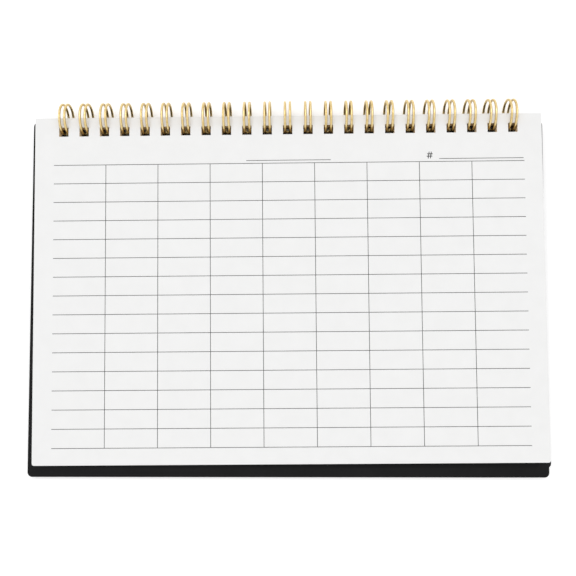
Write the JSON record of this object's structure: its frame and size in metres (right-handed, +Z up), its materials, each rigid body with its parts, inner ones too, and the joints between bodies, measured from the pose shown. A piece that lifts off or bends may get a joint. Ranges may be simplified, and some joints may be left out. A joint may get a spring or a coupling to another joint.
{
  "type": "wire-bound accounting journal",
  "caption": "Landscape ledger pad of loose ruled leaves on a gold twin-loop wire along the top edge, with two stiff black wrapped covers; leaves and front cover turn over the wire.",
  "frame": {"origin": "on the table, under the middle of the whole journal", "axes": "+X along the binding, +Y from the reader to the binding, +Z up"},
  "size_m": [0.2153, 0.1567, 0.0133],
  "materials": {
    "gold_wire": "bright coated wire",
    "board": "plain grey board",
    "leatherette": "fine grained matt black leatherette",
    "lining": "matt black lining paper",
    "paper": "uncoated white paper"
  },
  "bodies": {
    "back_cover": {"back_cover_board": "board", "back_cover_wrap": "leatherette", "back_cover_liner": "lining"},
    "binding_wire": {"binding_wire": "gold_wire"},
    "front_cover": {"front_cover_board": "board", "front_cover_wrap": "leatherette", "front_cover_liner": "lining"},
    "lower_wad": {"leaf_21": "paper", "leaf_22": "paper", "leaf_23": "paper", "leaf_24": "paper", "leaf_25": "paper", "leaf_26": "paper", "leaf_27": "paper", "leaf_28": "paper", "leaf_29": "paper", "leaf_30": "paper", "leaf_31": "paper", "leaf_32": "paper", "leaf_33": "paper", "leaf_34": "paper", "leaf_35": "paper", "leaf_36": "paper", "leaf_37": "paper", "leaf_38": "paper", "leaf_39": "paper", "leaf_40": "paper"},
    "upper_wad": {"leaf_04": "paper", "leaf_05": "paper", "leaf_06": "paper", "leaf_07": "paper", "leaf_08": "paper", "leaf_09": "paper", "leaf_10": "paper", "leaf_11": "paper", "leaf_12": "paper", "leaf_13": "paper", "leaf_14": "paper", "leaf_15": "paper", "leaf_16": "paper", "leaf_17": "paper", "leaf_18": "paper", "leaf_19": "paper", "leaf_20": "paper"},
    "leaf_03": {"leaf_03": "paper"},
    "leaf_02": {"leaf_02": "paper"},
    "leaf_01": {"leaf_01": "paper"}
  },
  "joints": [
    {"name": "wire_turn", "type": "hinge", "parent": "back_cover", "child": "binding_wire", "pos_m": [0, 0.0717, 0.0067], "axis": [1, 0, 0], "range_deg": [0, 269.4]},
    {"name": "front_cover_fold", "type": "hinge", "parent": "binding_wire", "child": "front_cover", "pos_m": [0, 0.06743, 0.00221], "axis": [1, 0, 0], "range_deg": [0, 89.8]},
    {"name": "lower_wad_turn", "type": "hinge", "parent": "back_cover", "child": "lower_wad", "pos_m": [0, 0.0717, 0.0067], "axis": [-1, 0, 0], "range_deg": [0, 180]},
    {"name": "upper_wad_turn", "type": "hinge", "parent": "lower_wad", "child": "upper_wad", "pos_m": [0, 0.0717, 0.0067], "axis": [-1, 0, 0], "range_deg": [0, 180]},
    {"name": "leaf_03_turn", "type": "hinge", "parent": "upper_wad", "child": "leaf_03", "pos_m": [0, 0.0717, 0.0067], "axis": [-1, 0, 0], "range_deg": [0, 180]},
    {"name": "leaf_02_turn", "type": "hinge", "parent": "leaf_03", "child": "leaf_02", "pos_m": [0, 0.0717, 0.0067], "axis": [-1, 0, 0], "range_deg": [0, 180]},
    {"name": "leaf_01_turn", "type": "hinge", "parent": "leaf_02", "child": "leaf_01", "pos_m": [0, 0.0717, 0.0067], "axis": [-1, 0, 0], "range_deg": [0, 180]}
  ],
  "couplings": [
    {"joint": "front_cover_fold", "follows": "wire_turn", "ratio": 0.33333}
  ]
}
